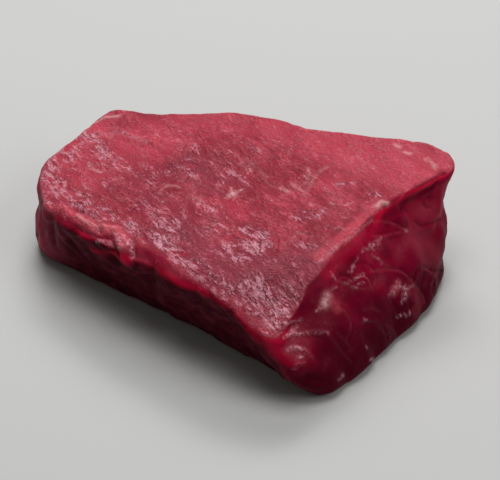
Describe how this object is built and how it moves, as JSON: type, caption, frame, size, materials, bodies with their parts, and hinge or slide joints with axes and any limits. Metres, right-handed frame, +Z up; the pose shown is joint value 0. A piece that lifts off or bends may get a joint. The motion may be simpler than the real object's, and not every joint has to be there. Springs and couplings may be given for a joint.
{
  "type": "raw round steak",
  "caption": "Thick wedge-shaped slab of lean raw round steak with a flat cut top, a front nose and a slanting cut at the thick end.",
  "frame": {"origin": "middle of the slab's bounding box, on the surface that it lies on", "axes": "+X along the slab from its thin end to its thick end, -Y to the side with the nose, +Z up out of the cut top"},
  "size_m": [0.1266, 0.1024, 0.0363],
  "materials": {
    "meat": "wet"
  },
  "bodies": {
    "root": {"steak": "meat"}
  },
  "joints": []
}
